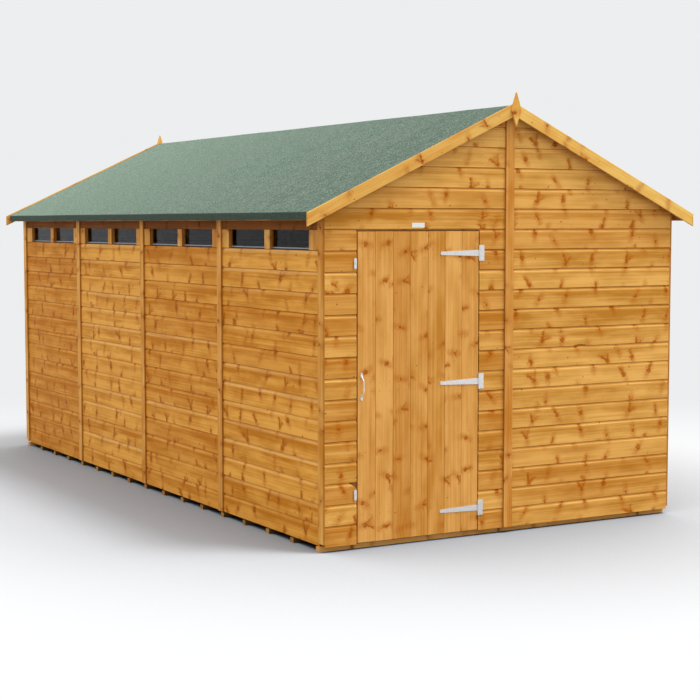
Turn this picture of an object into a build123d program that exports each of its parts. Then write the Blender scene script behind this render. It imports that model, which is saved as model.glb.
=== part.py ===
from build123d import *
import os
from math import cos, radians, tan

# A wooden garden shed with a felted pitched roof, in millimetres. The origin is on the ground at
# the middle of the plan. The gable with the door faces -Y, the row of windows faces -X, +Z is up.
# Walls are framed panels clad in horizontal boards, and cover strips hide the joints between them.

# Plan and heights
gable_spacing = 4800  # between the outer faces of the two gables
wall_width = 2344  # between the outer faces of the two side walls
wall_above_door = 132  # from the door's top to where the roof meets a side wall's outer face
roof_pitch = 24.9  # degrees

# Cladding and framing timber
cladding_thickness = 12
cladding_lift = 2  # of the cladding's lower edge above the joists
board_cover = 111.8  # what one horizontal board shows
frame_depth = 44  # of a wall frame, inwards from its cladding
stud_width = 28
rail_height = 28
mid_rail_bottom = 920
panel_gap = 2  # between two neighbouring panels, under a cover strip
joint_shift = 30  # side panels' joints stand this far behind the quarter points
side_panel_count = 4

# Cover strips
strip_width = 56
strip_thickness = 12
corner_strip_lift = 15  # of a corner strip's lower end above the cladding's

# Floor
joist_count = 17
joist_width = 38
joist_height = 28
joist_end_inset = 15  # of the end joists behind the floor boards' ends
floor_thickness = 12
floor_setback = 24  # of the floor boards' ends behind the gables' outer faces

# Windows of the left wall
window_height = 107
window_post_width = 113  # from a panel's edge to its window
mullion_width = 64
least_head_depth = 120  # of the boards above the windows
pane_setback = 25  # behind the cladding's face
pane_thickness = 3

# Door
door_width = 772
door_lift = 5  # of the door's lower edge above the cladding's
door_height = 1660
door_board_count = 7
door_board_thickness = 12
door_clearance = 6
groove_width = 6
groove_depth = 3
ledge_height = 90
ledge_thickness = 22
ledge_hinge_inset = 10  # from the door's hinge edge to a ledge's end
brace_width = 70
stop_thickness = 15
stop_depth = 28
stop_gap = 2  # between the upright stop and those above and below it
stop_clearance = 6  # between the closed door and what stands behind it

# Tee hinges
lowest_hinge_rise = 125  # above the door's lower edge
highest_hinge_drop = 120  # below the door's top
hinge_plate_width = 25
hinge_plate_height = 86
hinge_metal = 3
knuckle_radius = 5
hinge_pin_radius = 2.5
hinge_pin_play = 0.05
strap_knuckle_height = 34
knuckle_gap = 1
knuckle_notch = 2  # between the strap's knuckle and the fixed plate beside it
strap_length = 254
strap_tip_height = 18
strap_tip_radius = 6

# Pull handle
handle_edge_inset = 23  # from the door's closing edge to the handle's middle
handle_rise = 8  # of the handle's middle above the door's middle
handle_length = 150
handle_reach = 30
handle_bar_radius = 3.5
handle_foot_length = 30
handle_foot_width = 14
handle_foot_thickness = 3

# Turn buttons that hold the door shut
lower_button_rise = 263  # above the door's lower edge
upper_button_drop = 168  # below the door's top
button_edge_distance = 18  # from the door's closing edge to a button's screw
button_length = 58
button_width = 16
button_thickness = 3
button_standoff = 5.5
button_screw_radius = 2.5
button_screw_play = 0.05
button_washer_radius = 6.5
button_head_radius = 5
button_head_height = 2.5
button_axial_play = 0.4

# Roof
roof_board_thickness = 12
eaves_overhang = 100  # of the roof boards beyond a side wall's outer face
gable_overhang = 43  # of the roof boards beyond a gable's outer face
felt_thickness = 3
eaves_rail_width = 28
eaves_rail_height = 27.5  # of its outer face
rafter_count = 7
rafter_width = 28
rafter_depth = 44
ridge_beam_width = 28
ridge_beam_depth = 70
bargeboard_thickness = 12
bargeboard_rise = 13  # of its top edge above the roof boards
bargeboard_depth = 72  # measured plumb
bargeboard_tail = 32  # past the roof boards' edge
bargeboard_gap = 2  # between a pair of bargeboards, behind the finial
finial_thickness = 12
finial_width = 68
finial_top_rise = 60  # above the bargeboards' top
finial_bottom_drop = 132  # below the bargeboards' top
finial_shoulder_drop = 41  # of its widest level below the bargeboards' top

# Levels and planes that follow from the sizes above
slope = tan(radians(roof_pitch))
plumb = 1 / cos(radians(roof_pitch))  # a thickness across the slope, measured plumb
wall_face = wall_width / 2
side_frame_outer = wall_face - cladding_thickness
side_frame_inner = side_frame_outer - frame_depth
gable_face = gable_spacing / 2
gable_frame_outer = gable_face - cladding_thickness
gable_frame_inner = gable_frame_outer - frame_depth
floor_top = joist_height + floor_thickness
floor_end = gable_face - floor_setback
cladding_bottom = joist_height + cladding_lift
door_bottom = cladding_bottom + door_lift
door_top = door_bottom + door_height
side_wall_top = door_top + wall_above_door
boards_below_sill = (side_wall_top - least_head_depth - window_height - cladding_bottom) // board_cover
sill_level = cladding_bottom + boards_below_sill * board_cover
head_level = sill_level + window_height
door_middle = -(wall_face + panel_gap / 2) / 2  # of the gable's left panel
door_closing_edge = door_middle - door_width / 2
door_hinge_edge = door_middle + door_width / 2
doorway_left = door_closing_edge - door_clearance
doorway_right = door_hinge_edge + door_clearance
doorway_top = door_top + door_clearance
roof_apex = side_wall_top + slope * wall_face + roof_board_thickness * plumb
roof_edge = wall_face + eaves_overhang
roof_half_length = gable_face + gable_overhang
bargeboard_face = roof_half_length + bargeboard_thickness


def under_roof(x):
    """Height of the roof boards' underside at the distance x from the ridge."""
    return side_wall_top + slope * (wall_face - abs(x))


def over_roof(x):
    """Height of the roof boards' top at the distance x from the ridge."""
    return roof_apex - slope * abs(x)


def save(part, name):
    """Label a finished piece and write it to its own file."""
    part.label = name
    export_step(part, f"parts/{name}.step")


def prisms(outlines, stretches):
    """A solid for each outline in X and Z over each stretch (low, high) of Y."""
    with BuildPart() as pieces:
        for low, high in stretches:
            for outline in outlines:
                with BuildSketch(Plane.XZ.offset(-high)):
                    with BuildLine():
                        Polyline(*outline, close=True)
                    make_face()
                extrude(amount=high - low)
    return pieces.part


def rectangle(left, right, bottom, top):
    """The outline in X and Z of an upright rectangle."""
    return [(left, bottom), (right, bottom), (right, top), (left, top)]


def roof_line(left, right):
    """Points on the roof boards' underside from left to right, with the ridge where it is between."""
    places = [left, 0, right] if left < 0 < right else [left, right]
    return [(x, under_roof(x)) for x in places]


def up_to_roof(left, right, bottom):
    """An outline from a level bottom up to the roof boards' underside."""
    return [(right, bottom), (left, bottom), *roof_line(left, right)]


def along_roof(left, right, depth):
    """An outline that follows the roof boards' underside to a plumb depth below it."""
    tops = roof_line(left, right)
    return [*tops, *[(x, z - depth) for x, z in reversed(tops)]]


def on_side(side, outline):
    """The outline drawn for +X, kept where side is 1 and mirrored where it is -1."""
    return [(side * x, z) for x, z in outline]


def gable_stretch(end, near, far):
    """The stretch of Y between two distances from the middle, at the front (-1) or rear (1)."""
    return tuple(sorted((end * near, end * far)))


os.makedirs("parts", exist_ok=True)

# Floor: joists laid across the shed under a deck of boards
joist_length = wall_width + 2 * strip_thickness
end_joist = floor_end - joist_end_inset - joist_width / 2
joist_spacing = 2 * end_joist / (joist_count - 1)
with BuildPart() as floor_joists:
    with GridLocations(0, joist_spacing, 1, joist_count):
        Box(joist_length, joist_width, joist_height, align=(Align.CENTER, Align.CENTER, Align.MIN))
save(floor_joists.part, "floor_joists")

with BuildPart() as floor_boards:
    with BuildSketch(Plane.XY.offset(joist_height)):
        Rectangle(2 * side_frame_outer, 2 * floor_end)
    extrude(amount=floor_thickness)
save(floor_boards.part, "floor_boards")

# Side walls: four framed panels each, their joints a little behind the quarter points
panel_length = 2 * gable_frame_inner / side_panel_count
joint_places = [
    panel_length * (i - side_panel_count / 2) + joint_shift for i in range(1, side_panel_count)
]
panel_ends = [-gable_frame_inner, *joint_places, gable_frame_inner]
panels = [
    (low + panel_gap / 2, high - panel_gap / 2) for low, high in zip(panel_ends, panel_ends[1:])
]


def stud_stretches(panel):
    """The three studs of a side panel: one at each end and one in the middle."""
    low, high = panel
    middle = (low + high) / 2
    return [
        (low, low + stud_width),
        (middle - stud_width / 2, middle + stud_width / 2),
        (high - stud_width, high),
    ]


def bay_stretches(panel):
    """The two bays between the studs of a side panel."""
    first, second, third = stud_stretches(panel)
    return [(first[1], second[0]), (second[1], third[0])]


def window_post_stretches(panel):
    """The posts beside a side panel's two windows and the mullion between them."""
    low, high = panel
    middle = (low + high) / 2
    return [
        (low, low + window_post_width),
        (middle - mullion_width / 2, middle + mullion_width / 2),
        (high - window_post_width, high),
    ]


studs = [stretch for panel in panels for stretch in stud_stretches(panel)]
bays = [stretch for panel in panels for stretch in bay_stretches(panel)]
window_posts = [stretch for panel in panels for stretch in window_post_stretches(panel)]


def side_rail(side, bottom):
    """The outline of a level rail in a side wall's frame."""
    rail = rectangle(side_frame_inner, side_frame_outer, bottom, bottom + rail_height)
    return on_side(side, rail)


def side_top_rail(side):
    """The outline of a side wall's top rail, planed to the roof's pitch."""
    bottom = side_wall_top - rail_height
    return on_side(side, up_to_roof(side_frame_inner, side_frame_outer, bottom))


below_windows = rectangle(side_frame_outer, wall_face, cladding_bottom, sill_level)
save(prisms([on_side(-1, below_windows)], panels), "left_wall_cladding")

full_height = up_to_roof(side_frame_outer, wall_face, cladding_bottom)
save(prisms([full_height], panels), "right_wall_cladding")

for side, name in ((-1, "left"), (1, "right")):
    stud = on_side(side, up_to_roof(side_frame_inner, side_frame_outer, floor_top))
    save(prisms([stud], studs), f"{name}_wall_studs")

left_rails = [
    side_rail(-1, floor_top),
    side_rail(-1, mid_rail_bottom),
    side_rail(-1, sill_level - rail_height),
    side_rail(-1, head_level),
    side_top_rail(-1),
]
save(prisms(left_rails, bays), "left_wall_rails")

right_rails = [side_rail(1, floor_top), side_rail(1, mid_rail_bottom), side_top_rail(1)]
save(prisms(right_rails, bays), "right_wall_rails")

# Windows: posts and head boards flush with the cladding, with linings behind the posts that
# stop a fixed pane in each bay
left_face = rectangle(side_frame_outer, wall_face, sill_level, head_level)
save(prisms([on_side(-1, left_face)], window_posts), "left_window_posts")

left_head = up_to_roof(side_frame_outer, wall_face, head_level)
save(prisms([on_side(-1, left_head)], panels), "left_window_heads")


def lining_stretches(panel):
    """What each window post shows past the studs behind it, on both sides of a side panel's bays."""
    stretches = []
    for stud, post in zip(stud_stretches(panel), window_post_stretches(panel)):
        if post[0] < stud[0]:
            stretches.append((post[0], stud[0]))
        if post[1] > stud[1]:
            stretches.append((stud[1], post[1]))
    return stretches


linings = [stretch for panel in panels for stretch in lining_stretches(panel)]
pane_face = wall_face - pane_setback
lining = rectangle(pane_face, side_frame_outer, sill_level, head_level)
save(prisms([on_side(-1, lining)], linings), "left_window_linings")

pane = rectangle(pane_face - pane_thickness, pane_face, sill_level, head_level)
save(prisms([on_side(-1, pane)], bays), "left_window_panes")

# Gable walls: two panels each, joined under the ridge. Their frames reach the side walls' outer
# faces, and the side walls fit between them
gable_cladding = (gable_frame_outer, gable_face)
gable_frame = (gable_frame_inner, gable_frame_outer)
left_panel_edge = -panel_gap / 2
right_panel_edge = panel_gap / 2
left_corner_stud = (-wall_face, stud_width - wall_face)
right_corner_stud = (wall_face - stud_width, wall_face)
left_jamb = (doorway_left - stud_width, doorway_left)
right_jamb = (doorway_right, doorway_right + stud_width)
joint_studs = [
    (left_panel_edge - stud_width, left_panel_edge),
    (right_panel_edge, right_panel_edge + stud_width),
]


def middle_stud(left_stud, right_stud):
    """The stud halfway between two others."""
    middle = (left_stud[1] + right_stud[0]) / 2
    return (middle - stud_width / 2, middle + stud_width / 2)


front = [gable_stretch(-1, *gable_cladding)]
save(prisms([up_to_roof(-wall_face, doorway_left, cladding_bottom)], front), "front_cladding_left")
save(prisms([up_to_roof(doorway_left, doorway_right, doorway_top)], front), "front_cladding_over_door")
middle_boards = up_to_roof(doorway_right, left_panel_edge, cladding_bottom)
save(prisms([middle_boards], front), "front_cladding_middle")
right_boards = up_to_roof(right_panel_edge, wall_face, cladding_bottom)
save(prisms([right_boards], front), "front_cladding_right")

left_boards = up_to_roof(-wall_face, left_panel_edge, cladding_bottom)
rear = [gable_stretch(1, *gable_cladding)]
save(prisms([left_boards, right_boards], rear), "rear_cladding")

front_studs = [
    left_corner_stud,
    left_jamb,
    right_jamb,
    *joint_studs,
    middle_stud(joint_studs[1], right_corner_stud),
    right_corner_stud,
]
rear_studs = [
    left_corner_stud,
    middle_stud(left_corner_stud, joint_studs[0]),
    *joint_studs,
    middle_stud(joint_studs[1], right_corner_stud),
    right_corner_stud,
]
front_frame = [gable_stretch(-1, *gable_frame)]
rear_frame = [gable_stretch(1, *gable_frame)]
save(prisms([up_to_roof(*stud, floor_top) for stud in front_studs], front_frame), "front_wall_studs")
save(prisms([up_to_roof(*stud, floor_top) for stud in rear_studs], rear_frame), "rear_wall_studs")


def gable_bays(studs_in_order):
    """The stretches of X between neighbouring studs, leaving out the joint of two panels."""
    bays = [(a[1], b[0]) for a, b in zip(studs_in_order, studs_in_order[1:])]
    return [bay for bay in bays if bay != (left_panel_edge, right_panel_edge)]


doorway = (doorway_left, doorway_right)
closed_bays = [bay for bay in gable_bays(front_studs) if bay != doorway]
top_rail_depth = frame_depth * plumb
front_rails = [rectangle(*bay, floor_top, floor_top + rail_height) for bay in closed_bays]
front_rails += [rectangle(*bay, mid_rail_bottom, mid_rail_bottom + rail_height) for bay in closed_bays]
front_rails += [along_roof(*bay, top_rail_depth) for bay in gable_bays(front_studs)]
front_rails += [rectangle(*doorway, doorway_top, doorway_top + rail_height)]
rear_bays = gable_bays(rear_studs)
rear_rails = [rectangle(*bay, floor_top, floor_top + rail_height) for bay in rear_bays]
rear_rails += [rectangle(*bay, mid_rail_bottom, mid_rail_bottom + rail_height) for bay in rear_bays]
rear_rails += [along_roof(*bay, top_rail_depth) for bay in rear_bays]
save(prisms(front_rails, front_frame), "front_wall_rails")
save(prisms(rear_rails, rear_frame), "rear_wall_rails")

# Cover strips over the panels' joints and the corners
side_strip = up_to_roof(wall_face, wall_face + strip_thickness, cladding_bottom)
side_strips = [(place - strip_width / 2, place + strip_width / 2) for place in joint_places]
both_sides = [side_strip, on_side(-1, side_strip)]
save(prisms(both_sides, side_strips), "side_joint_strips")

corner_strip_bottom = cladding_bottom + corner_strip_lift
corner_strip = up_to_roof(wall_face, wall_face + strip_thickness, corner_strip_bottom)
corners = [gable_stretch(end, gable_face - strip_width, gable_face) for end in (-1, 1)]
save(prisms([corner_strip, on_side(-1, corner_strip)], corners), "corner_strips")

half_strip = strip_width / 2
centre_strip = up_to_roof(-half_strip, half_strip, cladding_bottom)
centres = [gable_stretch(end, gable_face, gable_face + strip_thickness) for end in (-1, 1)]
save(prisms([centre_strip], centres), "gable_centre_strips")

# Roof: two slopes of boards on rafters and a ridge beam, with a rail under each eaves edge
roof_boards = [
    (0, under_roof(0)),
    (roof_edge, under_roof(roof_edge)),
    (roof_edge, over_roof(roof_edge)),
    (0, over_roof(0)),
]
whole_roof = [(-roof_half_length, roof_half_length)]
save(prisms([roof_boards], whole_roof), "roof_boards_right")
save(prisms([on_side(-1, roof_boards)], whole_roof), "roof_boards_left")

eaves_rail_bottom = under_roof(roof_edge) - eaves_rail_height
eaves_rail = up_to_roof(roof_edge - eaves_rail_width, roof_edge, eaves_rail_bottom)
save(prisms([eaves_rail, on_side(-1, eaves_rail)], whole_roof), "eaves_rails")

half_ridge = ridge_beam_width / 2
ridge_beam = [
    (-half_ridge, under_roof(half_ridge) - ridge_beam_depth),
    (half_ridge, under_roof(half_ridge) - ridge_beam_depth),
    (half_ridge, under_roof(half_ridge)),
    (0, under_roof(0)),
    (-half_ridge, under_roof(half_ridge)),
]
inside_gables = [(-gable_frame_inner, gable_frame_inner)]
save(prisms([ridge_beam], inside_gables), "ridge_beam")

rafter = along_roof(half_ridge, side_frame_inner, rafter_depth * plumb)
rafter_step = (2 * gable_frame_inner - rafter_width) / (rafter_count - 1)
rafter_places = [-gable_frame_inner + rafter_step * i for i in range(rafter_count)]
rafter_stretches = [(low, low + rafter_width) for low in rafter_places]
save(prisms([rafter, on_side(-1, rafter)], rafter_stretches), "rafters")

# The felt is one sheet, folded over the ridge and turned down over the eaves
felt_rise = felt_thickness * plumb
felt_edge = roof_edge + felt_thickness
felt_half = [
    (roof_edge, over_roof(roof_edge)),
    (roof_edge, eaves_rail_bottom),
    (felt_edge, eaves_rail_bottom),
    (felt_edge, over_roof(felt_edge) + felt_rise),
]
felt = [
    (0, over_roof(0)),
    *felt_half,
    (0, over_roof(0) + felt_rise),
    *on_side(-1, reversed(felt_half)),
]
save(prisms([felt], whole_roof), "roof_felt")

# Bargeboards close the roof's ends, and a diamond finial covers where each pair meets
bargeboard_apex = roof_apex + bargeboard_rise
bargeboard_end = roof_edge + bargeboard_tail
bargeboard_start = bargeboard_gap / 2
bargeboard = [
    (bargeboard_start, bargeboard_apex - bargeboard_depth - slope * bargeboard_start),
    (bargeboard_end, bargeboard_apex - bargeboard_depth - slope * bargeboard_end),
    (bargeboard_end, bargeboard_apex - slope * bargeboard_end),
    (bargeboard_start, bargeboard_apex - slope * bargeboard_start),
]
for end, name in ((-1, "front"), (1, "rear")):
    stretch = gable_stretch(end, roof_half_length, bargeboard_face)
    save(prisms([bargeboard, on_side(-1, bargeboard)], [stretch]), f"{name}_bargeboards")

finial = [
    (0, bargeboard_apex - finial_bottom_drop),
    (finial_width / 2, bargeboard_apex - finial_shoulder_drop),
    (0, bargeboard_apex + finial_top_rise),
    (-finial_width / 2, bargeboard_apex - finial_shoulder_drop),
]
finial_stretches = [
    gable_stretch(end, bargeboard_face, bargeboard_face + finial_thickness) for end in (-1, 1)
]
save(prisms([finial], finial_stretches), "finials")

# Door: upright boards with a V groove at each joint, on three ledges and two braces
door_face = -gable_face
door_back = door_face + door_board_thickness
board_width = door_width / door_board_count
with BuildPart() as door_boards:
    with BuildSketch(Plane.XY.offset(door_bottom)):
        with Locations((door_closing_edge, door_face)):
            Rectangle(door_width, door_board_thickness, align=(Align.MIN, Align.MIN))
        for i in range(1, door_board_count):
            seam = door_closing_edge + i * board_width
            with BuildLine():
                Polyline(
                    (seam - groove_width / 2, door_face),
                    (seam + groove_width / 2, door_face),
                    (seam, door_face + groove_depth),
                    close=True,
                )
            make_face(mode=Mode.SUBTRACT)
    extrude(amount=door_height)
save(door_boards.part, "door_boards")

lowest_hinge = door_bottom + lowest_hinge_rise
highest_hinge = door_top - highest_hinge_drop
hinge_heights = (lowest_hinge, (lowest_hinge + highest_hinge) / 2, highest_hinge)
ledge_left = doorway_left + stop_thickness + stop_clearance
ledge_right = door_hinge_edge - ledge_hinge_inset
ledges = [
    rectangle(ledge_left, ledge_right, height - ledge_height / 2, height + ledge_height / 2)
    for height in hinge_heights
]
behind_door = [(door_back, door_back + ledge_thickness)]
save(prisms(ledges, behind_door), "door_ledges")

brace_spans = [
    (low + ledge_height / 2, high - ledge_height / 2)
    for low, high in zip(hinge_heights, hinge_heights[1:])
]
braces = [
    [
        (ledge_right - brace_width, low),
        (ledge_right, low),
        (ledge_left + brace_width, high),
        (ledge_left, high),
    ]
    for low, high in brace_spans
]
save(prisms(braces, behind_door), "door_braces")

# Stops inside the doorway that the closed door's boards lie before
stop_front = door_back + stop_clearance
stop_stretch = [(stop_front, stop_front + stop_depth)]
threshold_top = floor_top + rail_height
head_stop_bottom = doorway_top - stop_thickness
stops = [
    rectangle(doorway_left, doorway_right, floor_top, threshold_top),
    rectangle(doorway_left, doorway_right, head_stop_bottom, doorway_top),
    rectangle(
        doorway_left,
        doorway_left + stop_thickness,
        threshold_top + stop_gap,
        head_stop_bottom - stop_gap,
    ),
]
save(prisms(stops, stop_stretch), "door_stops")

# Tee hinges: a fixed plate whose two knuckles and pin carry the strap's knuckle between them
hinge_x = (door_hinge_edge + doorway_right) / 2
hinge_y = door_face - knuckle_radius
half_plate = hinge_plate_height / 2
half_strap = strap_knuckle_height / 2
fixed_knuckle = half_plate - half_strap - knuckle_gap
plate_left = hinge_x + knuckle_radius + knuckle_notch
plate_right = plate_left + hinge_plate_width


def hinge_plate(height):
    """The fixed half of a tee hinge: plate, two knuckles and the pin through all three."""
    bottom = height - half_plate
    with BuildPart() as plate:
        with BuildSketch(Plane.XY.offset(bottom)):
            with Locations((hinge_x, hinge_y)):
                Circle(knuckle_radius)
            with Locations((hinge_x, door_face)):
                Rectangle(plate_right - hinge_x, hinge_metal, align=(Align.MIN, Align.MAX))
        extrude(amount=hinge_plate_height)
        with BuildSketch(Plane.XY.offset(bottom + fixed_knuckle)):
            with Locations((plate_left, hinge_y)):
                Rectangle(
                    4 * knuckle_radius,
                    4 * knuckle_radius,
                    align=(Align.MAX, Align.CENTER),
                )
        extrude(amount=2 * (half_strap + knuckle_gap), mode=Mode.SUBTRACT)
        with Locations((hinge_x, hinge_y, bottom)):
            Cylinder(hinge_pin_radius, hinge_plate_height, align=(Align.CENTER, Align.CENTER, Align.MIN))
    return plate.part


def hinge_strap(height):
    """The moving half of a tee hinge: a tapered strap with a rounded tip and a bored knuckle."""
    with BuildPart() as strap:
        with BuildSketch(Plane.XZ.offset(-door_face)) as blade:
            with BuildLine():
                Polyline(
                    (hinge_x - strap_length, height + strap_tip_height / 2),
                    (hinge_x, height + half_strap),
                    (hinge_x, height - half_strap),
                    (hinge_x - strap_length, height - strap_tip_height / 2),
                    close=True,
                )
            make_face()
            fillet(blade.vertices().group_by(Axis.X)[0], strap_tip_radius)
        extrude(amount=hinge_metal)
        with Locations((hinge_x, hinge_y, height)):
            Cylinder(knuckle_radius, strap_knuckle_height)
            Hole(hinge_pin_radius + hinge_pin_play, depth=strap_knuckle_height)
    return strap.part


with BuildPart() as hinge_plates:
    add([hinge_plate(height) for height in hinge_heights])
save(hinge_plates.part, "hinge_plates")

with BuildPart() as hinge_straps:
    add([hinge_strap(height) for height in hinge_heights])
save(hinge_straps.part, "hinge_straps")

# Pull handle: a bow bent from round bar between two oval feet
handle_x = door_closing_edge + handle_edge_inset
handle_bottom = (door_bottom + door_top) / 2 + handle_rise - handle_length / 2
handle_top = handle_bottom + handle_length
foot_middle = handle_foot_length / 2
bow_bottom = handle_bottom + foot_middle
bow_top = handle_top - foot_middle
bow_front = door_face - handle_reach + handle_bar_radius
with BuildPart() as door_handle:
    with BuildLine() as bow:
        FilletPolyline(
            (handle_x, door_face, bow_bottom),
            (handle_x, bow_front, bow_bottom + handle_reach),
            (handle_x, bow_front, bow_top - handle_reach),
            (handle_x, door_face, bow_top),
            radius=handle_reach / 2,
        )
    with BuildSketch(Plane(origin=bow.line @ 0, z_dir=bow.line % 0)):
        Circle(handle_bar_radius)
    sweep()
    split(bisect_by=Plane.XZ.offset(-door_face), keep=Keep.TOP)
    with BuildSketch(Plane.XZ.offset(-door_face)):
        with Locations((handle_x, bow_bottom), (handle_x, bow_top)):
            Ellipse(handle_foot_width / 2, handle_foot_length / 2)
    extrude(amount=handle_foot_thickness)
save(door_handle.part, "door_handle")

# Turn buttons: each turns on a screw whose spacer holds it clear of the door's face
button_x = door_closing_edge - button_edge_distance
button_back = door_face - button_standoff
button_front = button_back - button_thickness
button_heights = (door_bottom + lower_button_rise, door_top - upper_button_drop)
for height, name in zip(button_heights, ("lower", "upper")):
    with BuildPart() as turn_button:
        with BuildSketch(Plane.XZ.offset(-button_back)):
            with Locations((button_x, height)):
                SlotOverall(button_length, button_width, rotation=90)
                Circle(button_screw_radius + button_screw_play, mode=Mode.SUBTRACT)
        extrude(amount=button_thickness)
    save(turn_button.part, f"{name}_turn_button")

with BuildPart() as turn_button_screws:
    for height in button_heights:
        with BuildSketch(Plane.XZ.offset(-door_face)):
            with Locations((button_x, height)):
                Circle(button_washer_radius)
        extrude(amount=button_standoff - button_axial_play)
        with BuildSketch(Plane.XZ.offset(-door_face)):
            with Locations((button_x, height)):
                Circle(button_screw_radius)
        extrude(amount=door_face - button_front + button_axial_play)
        with BuildSketch(Plane.XZ.offset(-button_front + button_axial_play)):
            with Locations((button_x, height)):
                Circle(button_head_radius)
        extrude(amount=button_head_height)
save(turn_button_screws.part, "turn_button_screws")
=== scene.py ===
"""The looks of a long wooden garden shed: shiplap walls, boarded door, felted roof, windows and iron."""

import math

import bpy
import numpy as np
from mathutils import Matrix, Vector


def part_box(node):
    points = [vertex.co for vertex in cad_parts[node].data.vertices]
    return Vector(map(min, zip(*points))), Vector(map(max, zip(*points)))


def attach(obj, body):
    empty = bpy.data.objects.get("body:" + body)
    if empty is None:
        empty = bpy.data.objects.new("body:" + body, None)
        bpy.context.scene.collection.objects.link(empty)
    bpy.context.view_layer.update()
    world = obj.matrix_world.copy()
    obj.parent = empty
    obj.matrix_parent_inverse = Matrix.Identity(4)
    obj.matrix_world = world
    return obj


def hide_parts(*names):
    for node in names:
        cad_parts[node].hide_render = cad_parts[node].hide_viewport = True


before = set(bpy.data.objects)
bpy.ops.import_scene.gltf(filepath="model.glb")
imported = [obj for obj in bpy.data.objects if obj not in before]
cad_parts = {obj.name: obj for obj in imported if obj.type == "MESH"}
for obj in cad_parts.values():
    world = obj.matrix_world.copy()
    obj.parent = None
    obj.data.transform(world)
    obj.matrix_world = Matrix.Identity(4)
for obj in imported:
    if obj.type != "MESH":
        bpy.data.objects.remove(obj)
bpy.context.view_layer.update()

# Directions of the shared frame
EAST = np.array([1.0, 0.0, 0.0])
NORTH = np.array([0.0, 1.0, 0.0])
UP = np.array([0.0, 0.0, 1.0])

# Sizes of the real timber that the frame doesn't give, in metres
MM = 0.001
ROOF_PITCH = math.radians(24.9)
SLOPE = math.tan(ROOF_PITCH)
BOARD_THICKNESS = 12 * MM
BOARD_COVER = 111.8 * MM
SHIPLAP_TONGUE = 7 * MM
SHIPLAP_REBATE = 8 * MM
SHIPLAP_THINNED = 5.5 * MM
SHIPLAP_LIP_BACK = 6.2 * MM
COVE_RADIUS = 26 * MM
FLOOR_BOARD_COVER = 112 * MM
ROOF_BOARD_COVER = 109 * MM
ROOF_BOARD_CHAMFER = 2 * MM
BOARD_GAP = 0.8 * MM
DOOR_BOARDS = 7
DOOR_CHAMFER = 1.8 * MM
DOOR_BOARD_GAP = 0.3 * MM
DOOR_BOARD_SHRINK = 1.2 * MM
BRACE_WIDTH = 70 * MM
FINIAL_SHOULDER = 101 * MM

# A frame's level rails are lower than this, and those that follow the roof higher
LEVEL_RAIL = 50 * MM

# How far the arrises of each kind of timber are eased
LIP_EASING = 0.9 * MM
BOARD_END_EASING = 0.6 * MM
PLANED_EASING = 1.5 * MM
STRIP_EASING = 2.2 * MM
SAWN_EASING = 0.7 * MM
BEAD_EASING = 0.8 * MM

# Cladding: its gap under the roof boards, the least height that is left of a board there, how far
# apart a board's rings of points are, and how far its lip and cove wander and its face swells
ROOF_CLEARANCE = 3 * MM
LEAST_BOARD = 4 * MM
RING_STEP = 90 * MM
LIP_WANDER = 0.5 * MM
COVE_WANDER = 2.2 * MM
FACE_SWELL = 0.25 * MM

# The felt: its thickness, how round its folds and its ridge are, how far apart its points are down
# the slope, how strongly it swells, and how far its aprons' edges wave
FELT_THICKNESS = 3 * MM
FELT_FOLD = 9 * MM
FELT_RIDGE = 14 * MM
FELT_STEP = 45 * MM
FELT_RINGS = 100
FELT_SWELLS = ((0.9, 0.55, 0.5 * MM), (0.37, 0.9, 0.35 * MM), (1.7, 1.3, 0.6 * MM))
APRON_WAVE = 2.2 * MM
APRON_LIFT = 2.4 * MM

# Flaws of single boards, as node and row: a corner broken off beside the door, and a lip torn by a knot
BROKEN_BOARD = ("front_cladding_left", 2)
BROKEN_LENGTH = 46 * MM
BROKEN_HEIGHT = 35 * MM
TORN_BOARD = ("front_cladding_right", 9)
TORN_PLACE = 0.51
TORN_REACH = 45 * MM
TORN_DEPTH = 8 * MM
TORN_RING_STEP = 6 * MM

# How much deeper and redder than the rest the panels of a wall took the stain, from the front to the
# rear. The front's boards above the one over the door are paler, by a share of their tone.
PANEL_TONES = {
    "left_wall_cladding": (0.0, 0.15, -0.2, 0.6),
    "front_cladding_left": (0.3,),
    "front_cladding_middle": (0.3,),
    "front_cladding_over_door": (0.3,),
}
PALE_ROW = 16
PALE_ROW_SHARE = 0.2

# Nails sit at these heights in each row of boards, off a panel's foot and top, and on each door ledge
# above and below its middle line, all a little scattered
NAIL_RADIUS = 2.1 * MM
NAIL_HEIGHT = 0.7 * MM
NAIL_SIDES = 8
NAIL_LEVELS = (20 * MM, 74 * MM)
NAIL_FOOT_GAP = 10 * MM
NAIL_TOP_GAP = 80 * MM
NAIL_SCATTER = 4 * MM
DOOR_NAIL_RISE = 24 * MM
DOOR_NAIL_SCATTER = 3 * MM

# Screws of the hinges: on a plate as share of its width and rise from its middle, on a strap as share
SCREW_RADIUS = 3.4 * MM
SCREW_HEIGHT = 1.3 * MM
PLATE_SCREWS = ((0.5, -32 * MM), (0.78, -11 * MM), (0.5, 11 * MM), (0.78, 32 * MM))
STRAP_SCREWS = (0.06, 0.34, 0.62, 0.86)
HINGE_THICKNESS = 3 * MM
HANDLE_SCREW_RADIUS = 2.2 * MM
HANDLE_SCREW_INSET = 5 * MM

# The name plate over the door: left, right, bottom and top, and how far in and out of the boards
NAME_PLATE = (-0.636, -0.556, 1.714, 1.740)
NAME_PLATE_REACH = (-0.5 * MM, 1.2 * MM)
NAME_PLATE_CORNER = 3 * MM
NAME_PLATE_EASING = 0.3 * MM

# How far the lines at a pane's foot stay off its ends and face, then each one's height, depth and place
PANE_LAP = 2 * MM
PANE_GAP = 0.5 * MM
SHADOW_LINE_SIZE = (5 * MM, 5 * MM, 0)
BEAD_LINE = (7 * MM, 6 * MM, 5 * MM)


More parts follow.
